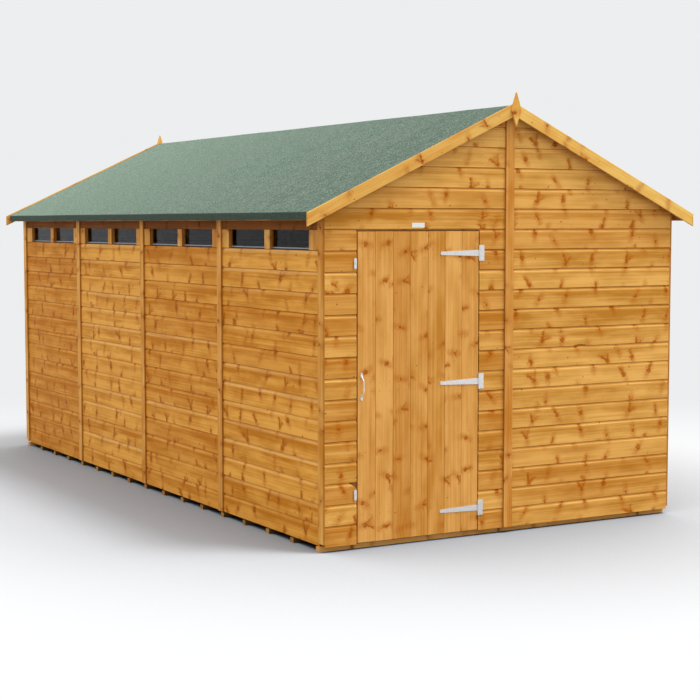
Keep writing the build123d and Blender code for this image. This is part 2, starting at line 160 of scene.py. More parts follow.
# Reading the frame


def solids(node):
    """The lowest and highest corners of each separate solid of a CAD node.

    Corners that lie at the same place are one. Every corner starts with its own number, each edge
    hands the smaller number to both of its ends until nothing changes, and the corners that end
    with one number are one solid.
    """
    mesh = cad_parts[node].data
    points = np.empty(len(mesh.vertices) * 3)
    mesh.vertices.foreach_get("co", points)
    points = points.reshape(-1, 3)
    edges = np.empty(len(mesh.edges) * 2, int)
    mesh.edges.foreach_get("vertices", edges)
    places, place_of = np.unique(np.round(points, 5), axis=0, return_inverse=True)
    ends = place_of.reshape(-1)[edges].reshape(-1, 2)
    labels = np.arange(len(places))
    while True:
        smaller = labels[ends].min(axis=1)
        spread = labels.copy()
        np.minimum.at(spread, ends[:, 0], smaller)
        np.minimum.at(spread, ends[:, 1], smaller)
        if np.array_equal(spread, labels):
            break
        labels = spread
    groups = [places[labels == label] for label in np.unique(labels)]
    return [(group.min(axis=0), group.max(axis=0)) for group in groups]


def extent(node):
    """The lowest and highest corner of a whole CAD node."""
    return [np.array(corner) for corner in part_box(node)]


wall_low, wall_high = extent("right_wall_cladding")
WALL_FACE = wall_high[0]
SIDE_WALL_TOP = wall_high[2] - SLOPE * BOARD_THICKNESS
CLADDING_BOTTOM = wall_low[2]
GABLE_FACE = extent("rear_cladding")[1][1]


def under_roof(x):
    """Height of the roof boards' underside at x: the side wall's top plus the slope's rise inwards."""
    return SIDE_WALL_TOP + SLOPE * (WALL_FACE - np.abs(x))


# Surfaces: each is a dictionary of points, normals, faces, grain coordinates and stain values


def eased(corners, radius, steps=2):
    """A closed outline with its corners rounded, and its outward directions.

    Each corner is cut off at radius times the tangent of half its turn along both of its edges, at
    most 0.45 of the shorter edge, and a parabola that is tangent to both edges joins the two cuts.
    The outward direction turns evenly from one edge's to the next edge's along it.
    """
    corners = np.asarray(corners, float)
    radius = np.broadcast_to(radius, len(corners))[:, None]
    before = np.roll(corners, 1, axis=0) - corners
    after = np.roll(corners, -1, axis=0) - corners
    before_length = np.linalg.norm(before, axis=1, keepdims=True)
    after_length = np.linalg.norm(after, axis=1, keepdims=True)
    before = before / before_length
    after = after / after_length
    opening = np.arccos(np.clip((before * after).sum(axis=1), -1, 1))[:, None]
    cut = radius / np.tan(np.maximum(opening, 0.05) / 2)
    cut = np.minimum(cut, 0.45 * np.minimum(before_length, after_length))
    share = np.linspace(0, 1, steps + 1)[None, :, None]
    entry = (corners + before * cut)[:, None]
    leave = (corners + after * cut)[:, None]
    middle = corners[:, None]
    points = (1 - share) ** 2 * entry + 2 * share * (1 - share) * middle + share**2 * leave
    facing_in = np.stack([-before[:, 1], before[:, 0]], axis=1)[:, None]
    facing_out = np.stack([after[:, 1], -after[:, 0]], axis=1)[:, None]
    facing = (1 - share) * facing_in + share * facing_out
    facing = facing / np.linalg.norm(facing, axis=2, keepdims=True)
    return points.reshape(-1, 2), facing.reshape(-1, 2)


def clipped(corners, low, high):
    """The part of a closed outline whose first coordinate lies between low and high."""
    for limit, sign in ((low, 1), (high, -1)):
        kept = []
        for here, following in zip(corners, corners[1:] + corners[:1]):
            depth = sign * (here[0] - limit)
            next_depth = sign * (following[0] - limit)
            if depth >= 0:
                kept.append(here)
            if (depth < 0) != (next_depth < 0):
                share = depth / (depth - next_depth)
                kept.append((limit, here[1] + share * (following[1] - here[1])))
        corners = kept
    return corners


def split_at(corners, level):
    """A closed outline with one more corner on each edge that crosses a level of the first coordinate."""
    made = []
    for here, following in zip(corners, corners[1:] + corners[:1]):
        made.append(here)
        if (here[0] - level) * (following[0] - level) < 0:
            share = (level - here[0]) / (following[0] - here[0])
            made.append((level, here[1] + share * (following[1] - here[1])))
    return made


def bands(index):
    """Faces of four corners between neighbouring closed rings, from the rings' point numbers."""
    following = np.roll(index, -1, axis=-1)
    corners = [index[..., :-1, :], following[..., :-1, :], following[..., 1:, :], index[..., 1:, :]]
    return np.stack(corners, axis=-1).reshape(-1, 4)


def area_normal(ring):
    """The direction a closed ring of points faces: its corners' cross products, added up."""
    summed = np.cross(ring - ring[0], np.roll(ring, -1, axis=0) - ring[0]).sum(axis=0)
    return summed / np.linalg.norm(summed)


def carried(outline, facing, origin, across, through, first, last, segments=1, easing=PLANED_EASING):
    """A length of timber: an outline carried along a line, its two end arrises eased.

    A point of ring i is the origin, plus its outline place times the two directions, plus its
    distance along the third direction, which goes evenly from first to last. The first and last
    rings are drawn in by the easing and face along the timber, which rounds the end arrises.
    """
    count = len(facing)
    along = np.cross(across, through)
    first = np.broadcast_to(first, count)
    last = np.broadcast_to(last, count)
    share = np.linspace(0, 1, segments + 1)[:, None]
    inner = first + easing + (last - first - 2 * easing) * share
    reach = np.vstack([first, inner, last])
    spread = np.broadcast_to(outline, (segments + 3, count, 2)).copy()
    spread[0] -= facing * easing
    spread[-1] -= facing * easing
    points = origin + spread[..., :1] * across + spread[..., 1:] * through + reach[..., None] * along
    normals = np.broadcast_to(facing[:, :1] * across + facing[:, 1:] * through, points.shape).copy()
    normals[0] = -area_normal(points[0])
    normals[-1] = area_normal(points[-1])
    rings = segments + 3
    index = np.arange(rings * count).reshape(rings, count)
    return {
        "points": points.reshape(-1, 3),
        "normals": normals.reshape(-1, 3),
        "faces": bands(index).tolist() + [index[0][::-1].tolist(), index[-1].tolist()],
        "grain": np.concatenate([reach[..., None], spread], axis=-1).reshape(-1, 3),
        "stain": np.zeros((rings * count, 4)),
        "facing": np.broadcast_to(facing, (rings, count, 2)).reshape(-1, 2),
    }


def stained(timber, draw, height=None, edge=None, turned=False):
    """Give a timber its own piece of the grain and its own stain.

    The grain coordinates are moved by a random distance along, across and through. The stain is
    the random tone, the height across the face from 0 to 1, the random warmth, and how much a
    point lies on a narrow edge.
    """
    grain = timber["grain"]
    if turned:
        grain = grain[:, [0, 2, 1]]
    spread = grain[:, 1]
    if height is None:
        height = (spread - spread.min()) / max(np.ptp(spread), MM)
    narrow = 1 if turned else 0
    if edge is None:
        edge = np.abs(timber["facing"][:, narrow])
    tone, warmth = draw.random(2)
    timber["stain"][:, 0] = tone
    timber["stain"][:, 1] = height
    timber["stain"][:, 2] = warmth
    timber["stain"][:, 3] = edge
    timber["grain"] = grain + draw.uniform((0, 0, 0), (40, 9, 9))
    return timber


def placed(name, data):
    """A new object in the scene, with the mesh, lamp or camera told."""
    made = bpy.data.objects.new(name, data)
    bpy.context.scene.collection.objects.link(made)
    return made


def piece(name, surfaces, finish, body="root", replaces=(), sharp=None):
    """Join surfaces into one object with one finish, on a body and in the place of CAD nodes.

    It is shaded by the surfaces' own normals, or smoothly between edges that turn by more than
    the sharp angle, where one is given.
    """
    starts = np.cumsum([0] + [len(surface["points"]) for surface in surfaces[:-1]])
    faces = []
    for start, surface in zip(starts.tolist(), surfaces):
        faces += [[start + corner for corner in face] for face in surface["faces"]]
    points = np.vstack([surface["points"] for surface in surfaces])
    mesh = bpy.data.meshes.new(name)
    mesh.from_pydata(points, [], faces)
    mesh.polygons.foreach_set("use_smooth", np.full(len(faces), True))
    for label, kind, value in (("grain", "FLOAT_VECTOR", "vector"), ("stain", "FLOAT_COLOR", "color")):
        values = np.vstack([surface[label] for surface in surfaces]).astype(np.float32)
        mesh.attributes.new(label, kind, "POINT").data.foreach_set(value, values.ravel())
    if sharp:
        mesh.set_sharp_from_angle(angle=sharp)
    else:
        normals = np.vstack([surface["normals"] for surface in surfaces])
        mesh.normals_split_custom_set_from_vertices(normals)
    mesh.materials.append(finish)
    made = placed(name, mesh)
    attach(made, body)
    if replaces:
        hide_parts(*replaces)


# Timbers from the boxes of the frame's solids


def upright(boxes, draw, easing):
    """Timbers that stand upright in their boxes, each cut off under the roof's slope where it meets it."""
    made = []
    for low, high in boxes:
        size = high - low
        corners = [(0, 0), (size[0], 0), (size[0], size[1]), (0, size[1])]
        outline, facing = eased(corners, easing)
        top = np.minimum(high[2], under_roof(low[0] + outline[:, 0]))
        origin = np.array([low[0], low[1], 0.0])
        timber = carried(outline, facing, origin, EAST, NORTH, low[2], top, easing=easing)
        made.append(stained(timber, draw, turned=size[1] > size[0]))
    return made


def lengthwise(boxes, draw, easing):
    """Timbers that run the length of the shed, their tops planed to the roof's slope where they meet it."""
    made = []
    for low, high in boxes:
        ridge = [0.0] if low[0] < 0 < high[0] else []
        tops = [(min(high[2], under_roof(x)), x) for x in [high[0], *ridge, low[0]]]
        corners = [(low[2], low[0]), (low[2], high[0])] + tops
        outline, facing = eased(corners[::-1], easing)
        timber = carried(outline, facing, np.zeros(3), UP, EAST, low[1], high[1], 6, easing)
        size = high - low
        made.append(stained(timber, draw, turned=size[0] > size[2]))
    return made


def crosswise(boxes, draw, easing):
    """Timbers that run across the shed in their boxes."""
    made = []
    for low, high in boxes:
        corners = [(low[1], low[2]), (high[1], low[2]), (high[1], high[2]), (low[1], high[2])]
        outline, facing = eased(corners, easing)
        timber = carried(outline, facing, np.zeros(3), NORTH, UP, low[0], high[0], 4, easing)
        size = high - low
        made.append(stained(timber, draw, turned=size[2] > size[1]))
    return made


def raking(boxes, draw, easing):
    """Timbers that follow the roof's slope in their boxes, with plumb ends.

    The timber's middle is its box's middle. Its end planes lie at half the box's width from it, so
    a point that is higher up in the timber has its end further along by the pitch's tangent. The
    eased end ring is drawn in by as much again, so that it stays in the box.
    """
    made = []
    for low, high in boxes:
        size = high - low
        rise = -np.sign(low[0] + high[0])
        depth = (size[2] - SLOPE * size[0]) * math.cos(ROOF_PITCH)
        across = np.array([-rise * math.sin(ROOF_PITCH), 0, math.cos(ROOF_PITCH)])
        corners = np.array([(-1, -1), (1, -1), (1, 1), (-1, 1)]) * (depth / 2, size[1] / 2)
        outline, facing = eased(corners, easing)
        half_length = size[0] / 2 / math.cos(ROOF_PITCH) - easing * SLOPE
        lean = outline[:, 0] * rise * SLOPE
        middle = (low + high) / 2
        timber = carried(
            outline, facing, middle, across, NORTH, -half_length - lean, half_length - lean, 10, easing
        )
        made.append(stained(timber, draw, turned=size[1] > depth))
    return made


# Shiplap boards


def shiplap_corners():
    """Corners of a shiplap board's section, as height above its lower edge and depth from its back.

    The cove is an arc about a point outside the board. It starts upright at the thinned tongue and
    sinks outwards until it meets the face.
    """
    drop = BOARD_THICKNESS - SHIPLAP_THINNED
    rise = math.sqrt(COVE_RADIUS**2 - (COVE_RADIUS - drop) ** 2)
    sweep = np.linspace(0, math.asin(rise / COVE_RADIUS), 5)
    cove = [
        (BOARD_COVER - COVE_RADIUS * math.sin(turn), SHIPLAP_THINNED + COVE_RADIUS * (1 - math.cos(turn)))
        for turn in sweep
    ]
    return [
        (SHIPLAP_REBATE, 0),
        (BOARD_COVER + SHIPLAP_TONGUE, 0),
        (BOARD_COVER + SHIPLAP_TONGUE, SHIPLAP_THINNED),
        *cove,
        (0, BOARD_THICKNESS),
        (0, SHIPLAP_LIP_BACK),
        (SHIPLAP_REBATE, SHIPLAP_LIP_BACK),
    ]


def wander(draw, distance, waves):
    """A smooth random line from -1 to 1: sines of a few lengths and random phases, added up."""
    phases = draw.uniform(0, 2 * math.pi, len(waves))
    lines = [np.sin(2 * math.pi * distance / wave + phase) for wave, phase in zip(waves, phases)]
    return np.sum(lines, axis=0) / len(waves)


def clad(node, out, seed):
    """Rows of shiplap boards in the place of a slab of cladding.

    Every row is one section carried from one end of the slab to the other, and on a gable as far as
    the roof's slope at each height. The lower edge and the cove wander a little along each board.
    The broken corner is an end that draws back with height, and the tear a lip raised like a root.
    """
    along = np.cross(UP, out)
    gable = abs(along[0]) > 0.5
    section = shiplap_corners()
    deeper = PANEL_TONES.get(node, (0.0,))
    surfaces = []
    for number, (low, high) in enumerate(solids(node)):
        ends = sorted([low @ along, high @ along])
        back = min(np.abs(low @ out), np.abs(high @ out))
        nearest = 0.0 if ends[0] < 0 < ends[1] else min(abs(ends[0]), abs(ends[1]))
        top = min(high[2], under_roof(nearest) - ROOF_CLEARANCE if gable else SIDE_WALL_TOP)
        first_row = int(math.floor((low[2] - CLADDING_BOTTOM) / BOARD_COVER + 1e-6))
        last_row = int(math.ceil((top - CLADDING_BOTTOM) / BOARD_COVER - 1e-6))
        for row in range(first_row, last_row):
            base = CLADDING_BOTTOM + row * BOARD_COVER
            broken = (node, row) == BROKEN_BOARD
            torn = (node, row) == TORN_BOARD
            corners = clipped(section, low[2] - base, top - base)
            if len(corners) < 4 or top - base < LEAST_BOARD:
                continue
            draw = np.random.default_rng([seed, row, 0 if gable else number])
            if broken:
                corners = split_at(corners, BOARD_COVER - BROKEN_HEIGHT)
            outline, facing = eased(corners, LIP_EASING)
            apart = np.linalg.norm(outline - np.roll(outline, 1, axis=0), axis=1) > 0.01 * MM
            outline = outline[apart]
            facing = facing[apart]
            height, depth = outline.T
            first, last = ends
            if gable:
                half = WALL_FACE - (base + height - SIDE_WALL_TOP) / SLOPE
                first = np.maximum(first, -half)
                last = np.minimum(last, half)
            if broken:
                above = np.clip(height - BOARD_COVER + BROKEN_HEIGHT, 0, None)
                last = last - above / BROKEN_HEIGHT * BROKEN_LENGTH

            # The section's shape in every ring along the board
            length = float(np.max(last - first))
            segments = max(1, int(length / (TORN_RING_STEP if torn else RING_STEP)))
            distance = np.linspace(float(np.min(first)), float(np.max(last)), segments + 3)
            lip = LIP_WANDER * wander(draw, distance, (0.31, 0.73, 1.9))
            cove = COVE_WANDER * wander(draw, distance, (0.23, 0.57, 1.3))
            if torn:
                reach = np.clip(1 - np.abs(distance - TORN_PLACE) / TORN_REACH, 0, 1)
                lip = lip + TORN_DEPTH * np.sqrt(reach) * (1 + 0.3 * wander(draw, distance, (0.011, 0.023)))
            swell = FACE_SWELL * (1 + wander(draw, distance, (0.6, 1.7)))
            on_lip = height < 3 * MM
            on_arris = (height > 80 * MM) & (depth > BOARD_THICKNESS - 0.5 * MM)
            on_face = depth > SHIPLAP_THINNED + MM
            shaped = np.broadcast_to(outline, (segments + 3, *outline.shape)).copy()
            shaped[..., 0] += lip[:, None] * on_lip + cove[:, None] * on_arris
            shaped[..., 1] += swell[:, None] * on_face

            origin = out * back + UP * base
            board = carried(shaped, facing, origin, UP, out, first, last, segments, BOARD_END_EASING)
            # The faces that look down, such as each lip's underside, take painted shade in the finish
            edge = np.clip(-board["facing"][:, 0], 0, 1)
            stained(board, draw, board["grain"][:, 1] / BOARD_COVER, edge)
            if node.startswith("front") and row >= PALE_ROW:
                board["stain"][:, 0] *= PALE_ROW_SHARE
            else:
                board["stain"][:, [0, 2]] += deeper[number % len(deeper)]
            surfaces.append(board)
    return surfaces


# Small fastenings


def heads(places, out, radius, height, sides=10):
    """Round heads of nails or screws, each a ring at the timber, a shoulder and a low dome.

    A point is its head's place, plus the ring's radius times a direction around, plus the ring's
    height outwards.
    """
    places = np.asarray(places, float)
    turns = np.linspace(0, 2 * math.pi, sides, endpoint=False)
    around = np.cos(turns)[:, None] * np.cross(UP, out) + np.sin(turns)[:, None] * UP
    radii = np.array([1, 1, 0.8, 0.35]) * radius
    levels = np.array([0, 0.5, 0.75, 1]) * height
    rings = radii[:, None, None] * around + levels[:, None, None] * out
    points = places[:, None, None] + rings
    leans = np.array([1.0, 0.7, 0.35, 0.1])
    normals = leans[:, None, None] * around + (1 - leans)[:, None, None] * out
    normals = normals / np.linalg.norm(normals, axis=2, keepdims=True)
    index = np.arange(len(places) * 4 * sides).reshape(-1, 4, sides)
    flat = points.reshape(-1, 3)
    return {
        "points": flat,
        "normals": np.broadcast_to(normals, points.shape).reshape(-1, 3),
        "faces": bands(index).tolist() + index[:, 3].tolist() + index[:, 0, ::-1].tolist(),
        "grain": flat,
        "stain": np.zeros((len(flat), 4)),
    }


# Finishes


def linear(code):
    """An sRGB colour such as "C98F4A" as linear red, green, blue and alpha."""
    channels = np.array([int(code[i : i + 2], 16) for i in (0, 2, 4)]) / 255
    low = channels / 12.92
    high = ((channels + 0.055) / 1.055) ** 2.4
    return (*np.where(channels <= 0.04045, low, high).tolist(), 1.0)


def add(tree, kind, inputs=(), **settings):
    """Add a node of a kind, with its settings and its inputs, each a value or what to link to it.

    The inputs are told by their sockets' names, or as a list in the order of the sockets.
    """
    made = tree.nodes.new("ShaderNode" + kind)
    for name, value in settings.items():
        setattr(made, name, value)
    named = inputs if isinstance(inputs, dict) else dict(enumerate(inputs))
    for name, value in named.items():
        if isinstance(name, int):
            socket = made.inputs[name]
        else:
            socket = next(s for s in made.inputs if s.enabled and s.name == name)
        if isinstance(value, bpy.types.Node):
            value = next(s for s in value.outputs if s.enabled)
        if isinstance(value, bpy.types.NodeSocket):
            tree.links.new(value, socket)
        else:
            socket.default_value = value
    return made


def new_finish(name):
    """An empty material and its node tree."""
    finish = bpy.data.materials.new(name)
    finish.use_nodes = True
    finish.node_tree.nodes.clear()
    return finish, finish.node_tree


# A Map Range node with this setting goes softly from one share to another
SOFT = {"interpolation_type": "SMOOTHSTEP"}

# One branch in each field of this size along and across the grain, and one pin knot in each small one
KNOT_FIELD = (230 * MM, 124 * MM)
PIN_FIELD = 85 * MM


def branch_marks(tree, grain, knots):
    """Where branches stain a board: masks of their ambers and hearts, and how far off one lies.

    All lengths are in millimetres. Each field of the board holds one branch, at a random place and
    turned at random. About two in five are round knots, a dark heart in an amber halo. As many are
    spikes, where the saw ran along the branch: one or two streaks that leave the heart across the
    grain and widen. The rest are only a darker patch.
    """
    to_field = (1 / KNOT_FIELD[0], 1 / KNOT_FIELD[1], 0)
    fields = add(tree, "VectorMath", [grain, to_field], operation="MULTIPLY")
    place = {"Vector": fields, "Scale": 1.0, "Randomness": 0.8}
    knot = add(tree, "TexVoronoi", place, voronoi_dimensions="2D")
    offset = add(tree, "VectorMath", [fields, knot.outputs["Position"]], operation="SUBTRACT")
    size_of_field = (KNOT_FIELD[0] / MM, KNOT_FIELD[1] / MM, 0)
    offset = add(tree, "VectorMath", [offset, size_of_field], operation="MULTIPLY")
    ragged = add(tree, "TexNoise", {"Vector": grain, "Scale": 75, "Detail": 3, "Roughness": 0.6})
    shift = add(tree, "VectorMath", [ragged.outputs["Color"], (0.5, 0.5, 0.5)], operation="SUBTRACT")
    shift = add(tree, "VectorMath", [shift, (26, 26, 0)], operation="MULTIPLY")
    offset = add(tree, "VectorMath", [offset, shift], operation="ADD")
    kind, size, bent = add(tree, "SeparateColor", {"Color": knot.outputs["Color"]}).outputs
    turn = add(tree, "MapRange", [bent, 0, 1, -0.7, 0.7])
    turned = add(tree, "VectorRotate", {"Vector": offset, "Angle": turn}, rotation_type="Z_AXIS")
    along, across, _ = add(tree, "SeparateXYZ", [turned]).outputs
    away = add(tree, "VectorMath", [turned], operation="LENGTH").outputs["Value"]

    # A streak's width and length and the heart's radius, and how far out a point lies in each of them
    aside = add(tree, "Math", [along], operation="ABSOLUTE")
    lean = add(tree, "MapRange", [kind, 0.7, 0.74, 0, -0.62], **SOFT)
    off_line = add(tree, "Math", [across, lean, aside], operation="MULTIPLY_ADD")
    off_line = add(tree, "Math", [off_line], operation="ABSOLUTE")
    width = add(tree, "MapRange", [across, 0, 45, 4.5 * knots, 12 * knots])
    length = add(tree, "MapRange", [size, 0, 1, 28 * knots, 72 * knots])
    radius = add(tree, "MapRange", [size, 0, 1, 3.0, 9.5 * knots])
    spread = add(tree, "Math", [off_line, width], operation="DIVIDE")
    reach = add(tree, "Math", [across, length], operation="DIVIDE")
    ratio = add(tree, "Math", [away, radius], operation="DIVIDE")

    # Shares, each by what it follows, between which two values, and from which share to which
    steps = {
        "any_branch": (kind, 0.94, 0.96, 1, 0),
        "any_spike": (kind, 0.38, 0.42, 0, 1),
        "past_heart": (across, -5, 2, 0, 1),
        "before_tip": (reach, 0.55, 1, 1, 0),
        "in_streak": (spread, 0.4, 1.4, 1, 0),
        "weak_side": (along, -3, 3, 1, 0.55),
        "in_core": (spread, 0.1, 0.75, 0.55, 0),
        "near_heart": (reach, 0.2, 0.9, 1, 0),
        "hollow_middle": (ratio, 0.3, 0.9, 0.15, 0.85),
        "in_heart": (ratio, 0.9, 1.3, 0.85, 0),
        "in_halo": (ratio, 0.8, 2.6, 0.85, 0),
        "in_line": (aside, 0, 34, 0.55, 0),
        "nearby": (away, 25, 75, 1, 0),
    }
    share = {"all": min(knots, 1.0)}
    for name, (followed, low, high, start, end) in steps.items():
        share[name] = add(tree, "MapRange", [followed, low, high, start, end], **SOFT)
    share["patchy"] = add(tree, "MapRange", [ragged.outputs["Fac"], 0.36, 0.6, 0.45, 1])

    # Each mark is the shares named for it, multiplied together
    marks = {
        "length": ("past_heart", "before_tip", "any_spike", "any_branch"),
        "spike": ("in_streak", "length", "weak_side", "patchy"),
        "core": ("in_core", "near_heart", "length", "patchy"),
        "heart": ("hollow_middle", "in_heart", "any_branch"),
        "halo": ("in_halo", "patchy", "any_branch"),
        "whorl": ("in_line", "nearby", "patchy", "all"),
    }
    for name, (first, *others) in marks.items():
        share[name] = share[first]
        for other in others:
            share[name] = add(tree, "Math", [share[name], share[other]], operation="MULTIPLY")
    deep = add(tree, "Math", [share["heart"], share["core"]], operation="MAXIMUM")
    amber = add(tree, "Math", [share["halo"], share["spike"]], operation="MAXIMUM")
    amber = add(tree, "Math", [amber, share["all"]], operation="MULTIPLY")
    return share["whorl"], amber, deep, away


def softwood(name, pale, deep, amber, heart, roughness, knots=1.0, contrast=1.0, edge_stain_and_shade=0.5,
             tones=(0.2, 0.66), lapped=False, joint="8C4812", cove_highlight_strength=0.0):
    """Dip-stained spruce, deeper in the late wood and at branches, its edges darker by stain and painted
    shade.

    Growth rings 16 mm apart, drawn coarser than the real 3 mm so that they show, bend round the
    branches. On lapped boards the cove at the top edge is pale, partly lighter stain and partly a
    painted highlight where the cove faces up, and the face below it deeper. Where told, the coves of
    some boards get a brighter painted highlight. Narrow edges and downward faces are as dark as told,
    partly deeper stain and partly painted shade, and a thin painted shadow lies under each lip.
    """
    finish, tree = new_finish(name)
    grain = add(tree, "Attribute", attribute_name="grain").outputs["Vector"]
    stain = add(tree, "Attribute", attribute_name="stain")
    tone, height, warmth = add(tree, "SeparateColor", {"Color": stain.outputs["Color"]}).outputs
    whorl_mask, amber_mask, heart_mask, away = branch_marks(tree, grain, knots)

    to_pins = (1 / PIN_FIELD, 1 / PIN_FIELD, 0)
    pins = add(tree, "VectorMath", [grain, to_pins], operation="MULTIPLY")
    pin = add(tree, "TexVoronoi", {"Vector": pins, "Scale": 1.0}, voronoi_dimensions="2D")
    pin_size = add(tree, "SeparateColor", {"Color": pin.outputs["Color"]})
    pin_reach = add(tree, "MapRange", [pin_size.outputs[0], 0.7, 1.0, 0.0, 0.055 * knots])
    pin_off = add(tree, "Math", [pin.outputs["Distance"], pin_reach], operation="SUBTRACT")
    pin_mask = add(tree, "MapRange", [pin_off, -0.03, 0.015, 0.75, 0], **SOFT)

    # Rings that flow round the branches, and noise drawn out along the grain
    bulge = add(tree, "MapRange", [away, 6, 50, 7 * MM, 0], **SOFT)
    flow = add(tree, "VectorMath", [grain, add(tree, "CombineXYZ", {"Y": bulge})], operation="ADD")
    stretched = add(tree, "VectorMath", [flow, (0.07, 1, 1)], operation="MULTIPLY")
    ring_shape = {"Vector": stretched, "Scale": 19.6, "Distortion": 7, "Detail": 2, "Detail Scale": 0.7}
    rings = add(tree, "TexWave", ring_shape, bands_direction="Y", wave_profile="SAW").outputs["Fac"]
    noises = []
    for followed, drawn_out, detail in (
        (flow, (1.3, 70, 70), 4),
        (grain, (3.4, 13, 13), 3),
        (flow, (18, 700, 700), 2),
    ):
        place = add(tree, "VectorMath", [followed, drawn_out], operation="MULTIPLY")
        noise = add(tree, "TexNoise", {"Vector": place, "Scale": 1, "Detail": detail})
        noises.append(noise.outputs["Fac"])
    streaks, drift, fibres = noises

    # How deep the stain took, and what lies over it
    depth = add(tree, "MapRange", [tone, 0, 1, tones[0], tones[1]])
    layers = [
        (rings, 0.0, 1.0, -0.06, 0.08),
        (streaks, 0.3, 0.7, -0.22, 0.22),
        (drift, 0.3, 0.7, -0.3, 0.3),
    ]
    redder = add(tree, "MapRange", [warmth, 0.5, 1, 0, 0.25])
    # Narrow edges and downward faces darker: partly deeper stain, partly painted shade
    darker = add(tree, "MapRange", [stain.outputs["Alpha"], 0.5, 1, 0, edge_stain_and_shade])
    stains = [(redder, amber), (whorl_mask, amber), (amber_mask, amber), (heart_mask, heart),
              (pin_mask, heart), (darker, joint)]
    if lapped:
        wobble = add(tree, "MapRange", [drift, 0.3, 0.7, -0.06, 0.06])
        level = add(tree, "Math", [height, wobble], operation="ADD")
        # Paler cove at the top edge: partly lighter stain, partly a painted highlight where the cove faces
        # up
        paler = add(tree, "MapRange", [level, 0.75, 0.83, 0, -0.36], **SOFT)
        depth = add(tree, "Math", [depth, paler], operation="ADD")
        layers += [(level, 0.3, 0.74, -0.12, 0.22)]
        # A brighter painted highlight on the coves of cooler boards, as strong as told
        cove_band_highlight = add(tree, "MapRange", [level, 0.76, 0.86, 0, cove_highlight_strength], **SOFT)
        cool_board = add(tree, "MapRange", [warmth, 0, 0.8, 1, 0], **SOFT)
        painted_cove_highlight = add(tree, "Math", [cove_band_highlight, cool_board], operation="MULTIPLY")
        # Painted shadow: a thin dark line on the cove just under the lip of the board above
        lap_painted_shadow = add(tree, "MapRange", [height, 0.96, 0.985, 0, 0.8])
        stains += [(painted_cove_highlight, "FFD490"), (lap_painted_shadow, joint)]
    for layer, low, high, least, most in layers:
        bounds = [layer, low, high, least * contrast, most * contrast]
        depth = add(tree, "Math", [depth, add(tree, "MapRange", bounds)], operation="ADD")
    body = add(tree, "Mix", {"Factor": depth, "A": linear(pale), "B": linear(deep)}, data_type="RGBA")
    for mask, colour in stains:
        body = add(tree, "Mix", {"Factor": mask, "A": body, "B": linear(colour)}, data_type="RGBA")

    relief = add(tree, "Math", [rings, 0.5, fibres], operation="MULTIPLY_ADD")
    bump = add(tree, "Bump", {"Height": relief, "Strength": 0.35, "Distance": 0.4 * MM})
    sheen = add(tree, "MapRange", [streaks, 0, 1, roughness - 0.12, roughness + 0.12])
    settings = {"Base Color": body, "Roughness": sheen, "Normal": bump, "Specular IOR Level": 0.04}
    shader = add(tree, "BsdfPrincipled", settings)
    add(tree, "OutputMaterial", {"Surface": shader})
    return finish


# On the shiplap the joint colour is painted shade, under each lip and on its underside
CLADDING = softwood("dip_stained_shiplap", "F7BB62", "C8842D", "BE6208", "A04E06", 0.5, 1.2,
                    contrast=1.1, edge_stain_and_shade=0.7, lapped=True, joint="A45410")
SIDE_CLADDING = softwood("dip_stained_side_shiplap", "FFB852", "D2821F", "C06408", "9A4A07", 0.5, 1.5,
                         contrast=1.25, edge_stain_and_shade=0.7, lapped=True, joint="A45410", cove_highlight_strength=0.3)
DOOR_PINE = softwood("dip_stained_door_boards", "F3B462", "CD8732", "BA600C", "984A08", 0.48, contrast=1.15)
# The trim's narrow edges are darker, partly deeper stain and partly painted shade
TRIM = softwood("dip_stained_planed_trim", "FBBE66", "D68A30", "B0581A", "7E3A0C", 0.5, 0.8, 1.4, 0.6)
BARGE = softwood("pale_stained_bargeboard", "FFD070", "E69C3C", "B85A1A", "84400F", 0.5, 1.1, 1.3, 0.2)
# The head boards' colours are painted shade, dark as under the eaves' overhang
HEAD_BOARDS_PAINTED_SHADE = softwood("head_boards_painted_eaves_shade", "A5622A", "784318", "6E3A12", "3C1C08", 0.6, 0.8, 1.0, 0.3)
FRAME_PINE = softwood("sawn_stained_framing", "D2A060", "AE7434", "A0602A", "5F3014", 0.72, 0.8, 0.9, 0.15)
FLOOR_PINE = softwood("treated_floor_boards", "CC9A58", "A26C34", "945A28", "4A2A12", 0.7, 0.9, 1.0, 0.2)
# On the inner joists the near-black joint colour is painted shade under the shed
JOIST_PINE = softwood("treated_joists", "EFB468", "C88A40", "A0602A", "5F3014", 0.7, 0.8, 0.9, 0.9,
                      joint="2E241C")
DECK_PINE = softwood("sawn_roof_boards", "D8AC6C", "B07C40", "A0662C", "60341A", 0.75, 1.0, 0.9, 0.2)


